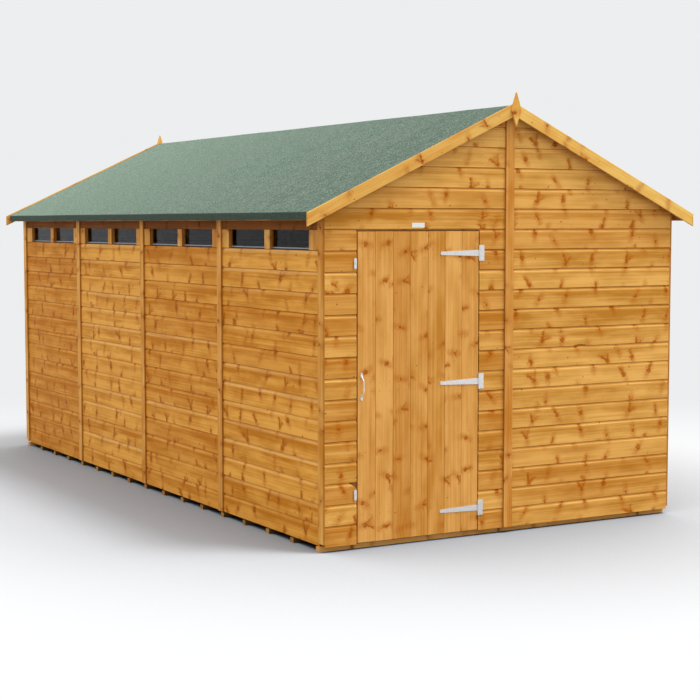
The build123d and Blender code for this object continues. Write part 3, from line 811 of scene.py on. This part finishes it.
def mineral_felt():
    """Green mineral felt: crushed slate grains bonded to bitumen, so matt, gritty and mottled.

    Real grains are 1 to 2 mm. They are drawn 8 mm across and a little longer down the slope so
    that they show from low angles, pale and dark among the green, over soft streaks that run down
    the slope. The felt is paler towards the rear, a painted sheen of the slope seen more at a graze.
    Its aprons, where it turns down over the edges, are darker by painted shade.
    """
    finish, tree = new_finish("green_mineral_felt")
    place = add(tree, "TexCoord").outputs["Object"]
    fold = add(tree, "Attribute", attribute_name="stain").outputs["Alpha"]
    drawn_out = add(tree, "VectorMath", [place, (0.8, 1, 0.9)], operation="MULTIPLY")
    grains = add(tree, "TexNoise", {"Vector": drawn_out, "Scale": 120, "Detail": 3, "Roughness": 0.7})
    clumps = add(tree, "TexNoise", {"Vector": drawn_out, "Scale": 22, "Detail": 3})
    squeezed = add(tree, "VectorMath", [place, (0.7, 4.5, 0.7)], operation="MULTIPLY")
    streaks = add(tree, "TexNoise", {"Vector": squeezed, "Scale": 1.4, "Detail": 3})
    reach = add(tree, "SeparateXYZ", [place]).outputs[1]
    # Painted sheen: paler towards the rear of the roof
    rear_painted_sheen = add(tree, "MapRange", [reach, -2.2, 2.4, 0.0, 0.8])
    # Painted shade: darker on the aprons
    apron_painted_shade = add(tree, "Math", [fold, 0.78], operation="MULTIPLY")
    coats = [(rear_painted_sheen, "8AA290")]
    for noise, low, high, start, end, colour in (
        (clumps, 0.36, 0.64, 0, 0.45, "74877A"),
        (streaks, 0.3, 0.7, 0, 0.3, "7C8474"),
        (grains, 0.34, 0.5, 0.85, 0, "4C5E50"),
        (grains, 0.5, 0.66, 0, 0.48, "B4C2B2"),
    ):
        bounds = [noise, low, high, start, end]
        coats.append((add(tree, "MapRange", bounds, **SOFT), colour))
    coats.append((apron_painted_shade, "3A443C"))
    body = linear("52665A")
    for mask, colour in coats:
        body = add(tree, "Mix", {"Factor": mask, "A": body, "B": linear(colour)}, data_type="RGBA")
    bump = add(tree, "Bump", {"Height": grains, "Strength": 0.8, "Distance": 1.5 * MM})
    settings = {"Base Color": body, "Roughness": 0.95, "Normal": bump, "Specular IOR Level": 0.06}
    shader = add(tree, "BsdfPrincipled", settings)
    add(tree, "OutputMaterial", {"Surface": shader})
    return finish


def styrene():
    """Slightly smoky styrene glazing, extruded thin and smooth: the dark inside shows through it.

    Its IOR is far below the real 1.59, because a thin sheet under the eaves mirrors hardly any sky.
    """
    finish, tree = new_finish("smoky_styrene_glazing")
    place = add(tree, "TexCoord").outputs["Object"]
    ripple = add(tree, "TexNoise", {"Vector": place, "Scale": 7, "Detail": 1})
    bump = add(tree, "Bump", {"Height": ripple, "Strength": 0.06, "Distance": 2 * MM})
    settings = {"Base Color": linear("B4BAC4"), "Roughness": 0.05, "IOR": 1.13, "Normal": bump}
    shader = add(tree, "BsdfPrincipled", settings | {"Transmission Weight": 1.0})
    add(tree, "OutputMaterial", {"Surface": shader})
    return finish


def clouded(name, scale, detail, base, cloud, rough, surface):
    """A smooth finish whose colour goes from one to another in clouds of the scale and detail told.

    Its roughness is the same all over, or goes between two values with the clouds.
    """
    finish, tree = new_finish(name)
    place = add(tree, "TexCoord").outputs["Object"]
    clouds = add(tree, "TexNoise", {"Vector": place, "Scale": scale, "Detail": detail})
    body = add(tree, "Mix", {"Factor": clouds, "A": linear(base), "B": linear(cloud)}, data_type="RGBA")
    if isinstance(rough, tuple):
        rough = add(tree, "MapRange", [clouds, 0, 1, rough[0], rough[1]])
    shader = add(tree, "BsdfPrincipled", {"Base Color": body, "Roughness": rough, **surface})
    add(tree, "OutputMaterial", {"Surface": shader})
    return finish


FELT = mineral_felt()
GLAZING = styrene()

# Bright zinc-plated steel: pale grey metal, faintly clouded by the bath, with a soft gloss
ZINC = clouded("bright_zinc_plated_steel", 60, 4, "D4D3D6", "F1EFEC", (0.36, 0.58), {"Metallic": 1.0})

# Wire nail heads driven flush before the dip: dull grey steel browned by the stain
NAILS = clouded("stained_wire_nails", 240, 2, "7E4C20", "A87848", 0.55, {"Metallic": 0.5})

# A smooth pale grey bead at each pane's foot, faintly clouded darker: a painted reflection of the pane's
# edge
BEAD = clouded("bead_painted_reflection", 30, 3, "A9B8C4", "7F8C96", 0.42, {})

# A dark line under each pane's bead, smooth and dark: painted shadow of the gap below the bead
SHADOW_LINE_FINISH = clouded("black_line_painted_shadow", 55, 2, "1C1D1E", "2E2B27", 0.5, {"Specular IOR Level": 0.2})

# White stove enamel on a small steel plate: smooth, glossy, with the faintest cloud of dust
ENAMEL = clouded("white_stove_enamel", 90, 3, "EDEBE4", "FAF9F4", 0.3, {})


# Walls: which way each faces, the seed of its boards and nails, and the studs it is nailed to

WALLS = {
    "left_wall_cladding": (-EAST, 11, "left_wall_studs"),
    "right_wall_cladding": (EAST, 12, "right_wall_studs"),
    "front_cladding_left": (-NORTH, 13, "front_wall_studs"),
    "front_cladding_over_door": (-NORTH, 13, None),
    "front_cladding_middle": (-NORTH, 13, "front_wall_studs"),
    "front_cladding_right": (-NORTH, 14, "front_wall_studs"),
    "rear_cladding": (NORTH, 15, "rear_wall_studs"),
}
for node, (out, seed, studs) in WALLS.items():
    finish = SIDE_CLADDING if out[0] else CLADDING
    piece(f"shiplap_{node}", clad(node, out, seed), finish, replaces=[node])

draw = np.random.default_rng(21)


def timbers(name, node, run, easing, finish, body="root"):
    """One piece of a node's timbers, each made from its solid's box as the way they run tells."""
    piece(name, run(solids(node), draw, easing), finish, body, [node])


def framing(boxes, draw, easing):
    """Timbers of a frame: tall ones stand, then low ones lie level and the rest follow the roof."""
    sizes = [high - low for low, high in boxes]
    tall = [box for box, size in zip(boxes, sizes) if size[2] > size[0]]
    level = [box for box, size in zip(boxes, sizes) if size[2] < LEVEL_RAIL]
    sloping = [box for box, size in zip(boxes, sizes) if LEVEL_RAIL <= size[2] <= size[0]]
    return upright(tall, draw, easing) + crosswise(level, draw, easing) + raking(sloping, draw, easing)


# Rings of points along a joist, its two ends among them
JOIST_RINGS = 7


def joists(boxes, draw, easing):
    """The joists: the front and rear ones stained as the walls, the rest with sides in painted shade."""
    made = crosswise(boxes, draw, easing)
    for number, joist in enumerate(made):
        inner = 0 < number < len(made) - 1
        stain = joist["stain"].reshape(JOIST_RINGS, -1, 4)
        # Painted shade: the inner joists darker all over their sides, a little less at their ends
        stain[:, :, 3] = 0.7 * inner
        stain[1:-1, :, 3] = inner
    return made


for node in ("side_joint_strips", "corner_strips", "gable_centre_strips"):
    timbers(f"planed_{node}", node, upright, STRIP_EASING, TRIM)
for node in ("left_window_posts", "left_window_linings"):
    timbers(f"planed_{node}", node, upright, PLANED_EASING, TRIM)
timbers("planed_window_head_boards", "left_window_heads", lengthwise, PLANED_EASING, HEAD_BOARDS_PAINTED_SHADE)

# Frames behind the boards, sawn and left plain
for node, run in {
    "left_wall_studs": upright,
    "right_wall_studs": upright,
    "front_wall_studs": upright,
    "rear_wall_studs": upright,
    "door_stops": framing,
    "left_wall_rails": lengthwise,
    "right_wall_rails": lengthwise,
    "ridge_beam": lengthwise,
    "eaves_rails": lengthwise,
    "front_wall_rails": framing,
    "rear_wall_rails": framing,
    "rafters": raking,
}.items():
    timbers(f"sawn_{node}", node, run, SAWN_EASING, FRAME_PINE)


# Floor
timbers("sawn_floor_joists", "floor_joists", joists, SAWN_EASING, JOIST_PINE)
floor_low, floor_high = extent("floor_boards")
floor_count = round((floor_high[0] - floor_low[0]) / FLOOR_BOARD_COVER)
floor_edges = np.linspace(floor_low[0], floor_high[0], floor_count + 1)
floor_boxes = [
    (np.array([left + BOARD_GAP / 2, *floor_low[1:]]), np.array([right - BOARD_GAP / 2, *floor_high[1:]]))
    for left, right in zip(floor_edges, floor_edges[1:])
]
floor_boards = lengthwise(floor_boxes, draw, SAWN_EASING)
piece("laid_floor_boards", floor_boards, FLOOR_PINE, replaces=["floor_boards"])


# Roof


def deck(node, side):
    """The boards of one slope: level boards that lie edge to edge on the rafters from ridge to eaves."""
    low, high = extent(node)
    down = np.array([side * math.cos(ROOF_PITCH), 0, -math.sin(ROOF_PITCH)])
    outwards = np.array([side * math.sin(ROOF_PITCH), 0, math.cos(ROOF_PITCH)])
    across, through = (outwards, down) if side > 0 else (down, outwards)
    ridge = np.array([0, 0, under_roof(0)])
    length = (high[0] if side > 0 else -low[0]) / math.cos(ROOF_PITCH)
    edges = np.linspace(0, length, round(length / ROOF_BOARD_COVER) + 1)
    lean = BOARD_THICKNESS * SLOPE
    made = []
    for near, far in zip(edges + BOARD_GAP / 2, edges[1:] - BOARD_GAP / 2):
        corners = [
            (near + ROOF_BOARD_CHAMFER, 0), (far - ROOF_BOARD_CHAMFER, 0), (far, ROOF_BOARD_CHAMFER),
            (far, BOARD_THICKNESS), (near, BOARD_THICKNESS), (near, ROOF_BOARD_CHAMFER),
        ]
        if near < BOARD_GAP:
            corners[4:] = [(near - lean, BOARD_THICKNESS)]
            corners[0] = (near, 0)
        if far > length - BOARD_GAP:
            corners[1:4] = [(far, 0), (far - lean, BOARD_THICKNESS)]
        if side > 0:
            corners = [(height, run) for run, height in corners][::-1]
        outline, facing = eased(corners, SAWN_EASING)
        board = carried(outline, facing, ridge, across, through, low[1], high[1], 8, SAWN_EASING)
        made.append(stained(board, draw, turned=side > 0))
    return made


for node, side in (("roof_boards_right", 1), ("roof_boards_left", -1)):
    piece(f"sawn_{node}", deck(node, side), DECK_PINE, replaces=[node])
for node in ("front_bargeboards", "rear_bargeboards"):
    timbers(f"planed_{node}", node, raking, STRIP_EASING, BARGE)


def felt_sheet():
    """The felt as one sheet: its outer and inner lines carried the length of the roof.

    The outer line rises up the right apron, rounds the eaves, climbs to the ridge and goes down the
    other side. A point's place is the line's point plus a small swell along the line's outward
    direction, made of sines down the slope and along the roof. The aprons' lower edges wave.
    """
    low, high = extent("roof_felt")
    ridge = high[2]
    edge = high[0]
    fold = ridge - SLOPE * edge
    corners = [(edge, low[2]), (edge, fold), (0, ridge), (-edge, fold), (-edge, low[2])]
    steps = 4
    rounded, facing = eased(corners, [0, FELT_FOLD, FELT_RIDGE, FELT_FOLD, 0], steps)
    outer = rounded[steps : 4 * (steps + 1) + 1]
    outwards = facing[steps : 4 * (steps + 1) + 1]
    run = np.r_[0, np.cumsum(np.linalg.norm(np.diff(outer, axis=0), axis=1))]
    stations = np.unique(np.r_[run, np.arange(0, run[-1], FELT_STEP)])
    line = np.stack([np.interp(stations, run, outer[:, i]) for i in (0, 1)], axis=1)
    out = np.stack([np.interp(stations, run, outwards[:, i]) for i in (0, 1)], axis=1)
    out = out / np.linalg.norm(out, axis=1, keepdims=True)
    lengths = np.linspace(low[1], high[1], FELT_RINGS)
    draw_felt = np.random.default_rng(31)
    swell = np.zeros((len(lengths), len(stations)))
    for wave_along, wave_down, strength in FELT_SWELLS:
        phase = draw_felt.uniform(0, 2 * math.pi, 2)
        along_part = np.sin(2 * math.pi * lengths[:, None] / wave_along + phase[0])
        down_part = np.sin(2 * math.pi * stations[None] / wave_down + phase[1])
        swell += strength * along_part * down_part
    outside = line[None] + out[None] * swell[..., None]
    inside = np.broadcast_to(line - out * FELT_THICKNESS, outside.shape).copy()
    for column in (0, -1):
        wave = APRON_LIFT + APRON_WAVE * wander(draw_felt, lengths, (0.19, 0.43, 1.1))
        outside[:, column, 1] += wave
        inside[:, column, 1] += wave
    loop = np.concatenate([outside, inside[:, ::-1]], axis=1)
    rings, count = loop.shape[:2]
    reach = np.broadcast_to(lengths[:, None], (rings, count))
    points = np.stack([loop[..., 0], reach, loop[..., 1]], axis=-1)
    # How far each point lies on an apron, where the felt's finish paints shade
    apron_painted_shade = np.clip((np.abs(out[:, 0]) - 0.6) / 0.3, 0, 1)
    stain = np.zeros((rings, count, 4))
    stain[..., 3] = np.concatenate([apron_painted_shade, apron_painted_shade[::-1]])

    # The faces around the sheet, then those that close its front and rear edges
    index = np.arange(rings * count).reshape(rings, count)
    faces = bands(index)[:, ::-1].tolist()
    pairs = np.arange(len(stations) - 1)
    strip = [pairs, pairs + 1, count - 2 - pairs, count - 1 - pairs]
    for ring, order in ((0, 1), (rings - 1, -1)):
        faces += np.stack([index[ring, place] for place in strip], axis=-1)[:, ::order].tolist()
    flat = points.reshape(-1, 3)
    return {"points": flat, "faces": faces, "grain": flat, "stain": stain.reshape(-1, 4)}


piece("mineral_felt_sheet", [felt_sheet()], FELT, replaces=["roof_felt"],
      sharp=math.radians(40))


def cut_board(corners, low, high, lean, draw, easing):
    """A board cut to an outline of x and z places, as thick as its box is deep.

    It is carried through its thickness, and its grain is turned to run upright, or at a lean
    from upright.
    """
    outline, facing = eased([(z, -x) for x, z in corners], easing)
    board = carried(outline, facing, np.zeros(3), UP, -EAST, -high[1], -low[1], 1, easing)
    reach, up, side = board["grain"].T
    along = up * math.cos(lean) + side * math.sin(lean)
    over = side * math.cos(lean) - up * math.sin(lean)
    board["grain"] = np.stack([along, over, reach], axis=1)
    return stained(board, draw, edge=0.0)


def diamonds(boxes, draw, easing):
    """The finials: diamonds with their shoulders nearer to the top, one on each gable."""
    made = []
    for low, high in boxes:
        shoulder = high[2] - FINIAL_SHOULDER
        corners = [(low[0], shoulder), (0, low[2]), (high[0], shoulder), (0, high[2])]
        made.append(cut_board(corners, low, high, 0.0, draw, easing))
    return made


timbers("diamond_finials", "finials", diamonds, STRIP_EASING, BARGE)


# Door

door_low, door_high = extent("door_boards")
door_edges = np.linspace(door_low[0], door_high[0], DOOR_BOARDS + 1)


def door_leaf():
    """Upright tongue and groove boards, each with chamfered front arrises that meet in a V."""
    depth = door_high[1] - door_low[1]
    hair = DOOR_BOARD_GAP / 2
    made = []
    for left, right in zip(door_edges, door_edges[1:]):
        width = right - left
        corners = [
            (DOOR_CHAMFER, 0), (width - DOOR_CHAMFER, 0), (width - hair, DOOR_CHAMFER),
            (width - hair, depth), (hair, depth), (hair, DOOR_CHAMFER),
        ]
        outline, facing = eased(corners, BOARD_END_EASING)
        shrink = draw.uniform(0, DOOR_BOARD_SHRINK, 2)
        origin = np.array([left, door_low[1], 0])
        ends = (door_low[2] + shrink[0], door_high[2] - shrink[1])
        made.append(stained(carried(outline, facing, origin, EAST, NORTH, *ends, 12), draw))
    return made


def braces(boxes, draw, easing):
    """The braces: boards whose two long edges rise from ledge to ledge, with level ends."""
    ledge_low, ledge_high = extent("door_ledges")
    left = ledge_low[0]
    right = ledge_high[0]
    made = []
    for low, high in boxes:
        corners = [
            (right - BRACE_WIDTH, low[2]), (right, low[2]), (left + BRACE_WIDTH, high[2]), (left, high[2])
        ]
        lean = math.atan2(right - left - BRACE_WIDTH, high[2] - low[2])
        made.append(cut_board(corners, low, high, lean, draw, easing))
    return made


piece("door_leaf_boards", door_leaf(), DOOR_PINE, "door", ["door_boards"])
timbers("door_ledge_boards", "door_ledges", crosswise, STRIP_EASING, DOOR_PINE, "door")
timbers("door_brace_boards", "door_braces", braces, STRIP_EASING, DOOR_PINE, "door")


# Ironmongery and panes keep their CAD shape and take a finish
for node, finish in {
    "hinge_plates": ZINC,
    "hinge_straps": ZINC,
    "door_handle": ZINC,
    "lower_turn_button": ZINC,
    "upper_turn_button": ZINC,
    "turn_button_screws": ZINC,
    "left_window_panes": GLAZING,
}.items():
    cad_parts[node].data.materials.clear()
    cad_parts[node].data.materials.append(finish)

# Screws
IRON_FACE = -GABLE_FACE - HINGE_THICKNESS
plate_screws = [
    (low[0] + (high[0] - low[0]) * share, IRON_FACE, (low[2] + high[2]) / 2 + rise)
    for low, high in solids("hinge_plates")
    for share, rise in PLATE_SCREWS
]
strap_screws = [
    (low[0] + (high[0] - low[0]) * share, IRON_FACE, (low[2] + high[2]) / 2)
    for low, high in solids("hinge_straps")
    for share in STRAP_SCREWS
]
handle_low, handle_high = extent("door_handle")
handle_x = (handle_low[0] + handle_high[0]) / 2
foot_levels = (handle_low[2] + HANDLE_SCREW_INSET, handle_high[2] - HANDLE_SCREW_INSET)
foot_screws = [(handle_x, IRON_FACE, level) for level in foot_levels]
for name, places, radius, height, body in (
    ("hinge_plate_screws", plate_screws, SCREW_RADIUS, SCREW_HEIGHT, "root"),
    ("hinge_strap_screws", strap_screws, SCREW_RADIUS, SCREW_HEIGHT, "door"),
    ("handle_screws", foot_screws, HANDLE_SCREW_RADIUS, MM, "door"),
):
    piece(name, [heads(places, -NORTH, radius, height)], ZINC, body)


def name_plate():
    """A bare plate with rounded corners that stands a little off the board over the door."""
    left, right, bottom, top = NAME_PLATE
    corners = [(bottom, -left), (bottom, -right), (top, -right), (top, -left)]
    outline, facing = eased(corners, NAME_PLATE_CORNER, 4)
    back, front = (GABLE_FACE + reach for reach in NAME_PLATE_REACH)
    return carried(outline, facing, np.zeros(3), UP, -EAST, back, front, 1, NAME_PLATE_EASING)


piece("bare_name_plate", [name_plate()], ENAMEL)


def window_line(width, depth, base):
    """A bead along the foot of each pane, as wide, deep and high above the pane's foot as told."""
    made = []
    for low, high in solids("left_window_panes"):
        front = low[0] - PANE_GAP
        bead_low = np.array([front - depth, low[1] + PANE_LAP, low[2] + base])
        bead_high = np.array([front, high[1] - PANE_LAP, low[2] + base + width])
        made.append((bead_low, bead_high))
    return lengthwise(made, draw, BEAD_EASING)


# Painted shadow: a dark line at each pane's foot
piece("window_painted_shadow_lines", window_line(*SHADOW_LINE_SIZE), SHADOW_LINE_FINISH)
# Painted reflection: a pale bead above the shadow line at each pane's foot
piece("window_beads_painted_reflection", window_line(*BEAD_LINE), BEAD)


# Nails


def nail_places(node, out, studs, seed):
    """Places of the nails of a boarded wall: in every row of boards, in front of every stud."""
    draw_nails = np.random.default_rng(seed)
    along = np.cross(UP, out)
    places = []
    for low, high in solids(node):
        ends = sorted([low @ along, high @ along])
        face = max(abs(low @ out), abs(high @ out))
        rows = int((high[2] - CLADDING_BOTTOM) / BOARD_COVER) + 1
        for low_stud, high_stud in solids(studs):
            where = (low_stud + high_stud) / 2 @ along
            if not ends[0] < where < ends[1]:
                continue
            top = min(high[2], under_roof(0 if out[0] else where)) - NAIL_TOP_GAP
            for row in range(rows):
                for level in NAIL_LEVELS:
                    z = CLADDING_BOTTOM + row * BOARD_COVER + level
                    jitter = draw_nails.uniform(-NAIL_SCATTER, NAIL_SCATTER, 2)
                    if low[2] + NAIL_FOOT_GAP < z < top:
                        places.append(along * (where + jitter[0]) + out * face + UP * (z + jitter[1]))
    return places


def nails(name, places, out, body="root"):
    """One piece of nail heads at the places told."""
    made = heads(places, out, NAIL_RADIUS, NAIL_HEIGHT, NAIL_SIDES)
    piece(name, [made], NAILS, body)


for node, (out, seed, studs) in WALLS.items():
    if studs:
        nails(f"nails_{node}", nail_places(node, out, studs, seed), out)

board_width = (door_high[0] - door_low[0]) / DOOR_BOARDS
draw_door = np.random.default_rng(41)
door_nails = []
for low, high in solids("door_ledges"):
    for board in range(DOOR_BOARDS):
        for share in (0.25, 0.75):
            for rise in (-DOOR_NAIL_RISE, DOOR_NAIL_RISE):
                x = door_low[0] + (board + share) * board_width
                jitter = draw_door.uniform(-DOOR_NAIL_SCATTER, DOOR_NAIL_SCATTER, 2)
                z = (low[2] + high[2]) / 2 + rise
                door_nails.append((x + jitter[0], door_low[1], z + jitter[1]))
nails("door_nails", door_nails, -NORTH, "door")


# Stage: a pale floor that fades into the background, soft light and the photo's camera

BACKGROUND = linear("EDEEEF")
FLOOR_RADIUS = 45.0
FLOOR_SIDES = 96

# The middle of the brightest floor, before the front gable
FORECOURT = (-1.5, -3.0, 0.0)


def shows_background(tree):
    """One for what the camera sees, directly, in gloss or through glass, and zero for soft light."""
    path = add(tree, "LightPath").outputs
    shown = add(tree, "Math", [path["Is Camera Ray"], path["Is Glossy Ray"]], operation="MAXIMUM")
    return add(tree, "Math", [shown, path["Is Transmission Ray"]], operation="MAXIMUM")


def studio_floor():
    """A round floor, pale where it is seen and grey where it only sends light back up.

    In the corner below the shed it is darker and cooler, a painted shade by how little of the sky it
    sees, which takes out the amber light that the walls send down, and under the shed painted shade
    makes it almost black. Far from the forecourt it shows the background's own colour to the camera,
    except in that corner.
    """
    turns = np.linspace(0, 2 * math.pi, FLOOR_SIDES, endpoint=False)
    rim = np.stack([np.cos(turns), np.sin(turns), np.zeros(FLOOR_SIDES)], axis=1) * FLOOR_RADIUS
    mesh = bpy.data.meshes.new("studio_floor")
    mesh.from_pydata(rim, [], [list(range(FLOOR_SIDES))])
    floor = placed("studio_floor", mesh)
    finish, tree = new_finish("pale_studio_floor")
    place = add(tree, "TexCoord").outputs["Object"]
    distance = add(tree, "VectorMath", [place, FORECOURT], operation="DISTANCE").outputs["Value"]
    background = add(tree, "MapRange", [distance, 4.5, 9.0, 0, 1], **SOFT)
    open_sky = add(tree, "AmbientOcclusion", {"Distance": 2.2}, samples=8).outputs["AO"]
    corner = add(tree, "MapRange", [open_sky, 0.35, 1.0, 0, 1])
    below = add(tree, "MapRange", [open_sky, 0.1, 0.4, 1, 0])
    shown = shows_background(tree)
    for share in (shown, corner):
        background = add(tree, "Math", [background, share], operation="MULTIPLY")
    # The cool colour and the near black are painted shade on the floor
    cool, pale, black, unseen = (linear(code) for code in ("97A3AF", "D9DBDD", "1E2022", "8C9196"))
    seen = add(tree, "Mix", {"Factor": corner, "A": cool, "B": pale}, data_type="RGBA")
    seen = add(tree, "Mix", {"Factor": below, "A": seen, "B": black}, data_type="RGBA")
    colour = add(tree, "Mix", {"Factor": shown, "A": unseen, "B": seen}, data_type="RGBA")
    matt = add(tree, "BsdfDiffuse", {"Color": colour})
    glow = add(tree, "Emission", {"Color": BACKGROUND, "Strength": 1.0})
    add(tree, "OutputMaterial", {"Surface": add(tree, "MixShader", [background, matt, glow])})
    mesh.materials.append(finish)


studio_floor()

world = bpy.data.worlds.new("pale_studio")
bpy.context.scene.world = world
world.use_nodes = True
sky = world.node_tree
sky.nodes.clear()
ambient = add(sky, "Background", {"Color": (1, 1, 1, 1), "Strength": 1.0})
plain = add(sky, "Background", {"Color": BACKGROUND, "Strength": 1.0})
sky_mix = add(sky, "MixShader", [shows_background(sky), ambient, plain])
add(sky, "OutputWorld", {"Surface": sky_mix})

# A soft distant lamp: the direction it shines from, its strength, and its width in the sky
KEY_DIRECTION = np.array([0.35, -0.32, 1.0])
KEY_STRENGTH = 1.65
KEY_WIDTH = math.radians(16)
light = bpy.data.lights.new("key_lamp", "SUN")
light.energy = KEY_STRENGTH
light.angle = KEY_WIDTH
lamp = placed("key_lamp", light)
steepness = math.acos(KEY_DIRECTION[2] / np.linalg.norm(KEY_DIRECTION))
lamp.rotation_euler = (steepness, 0, math.atan2(KEY_DIRECTION[0], -KEY_DIRECTION[1]))

CAMERA_PLACE = (-5.1997, -9.6298, 1.7355)
CAMERA_YAW = math.radians(30.037)
CAMERA_PITCH = math.radians(4.544)
FOCAL_PIXELS = 1590
FRAME_PIXELS = 700
SENSOR = 36
camera_data = bpy.data.cameras.new("photo_camera")
camera_data.sensor_width = SENSOR
camera_data.lens = SENSOR * FOCAL_PIXELS / FRAME_PIXELS
camera_data.clip_end = 200
camera = placed("photo_camera", camera_data)
camera.location = CAMERA_PLACE
camera.rotation_euler = (math.pi / 2 - CAMERA_PITCH, 0, -CAMERA_YAW)
bpy.context.scene.camera = camera
bpy.context.scene.view_settings.view_transform = "Standard"
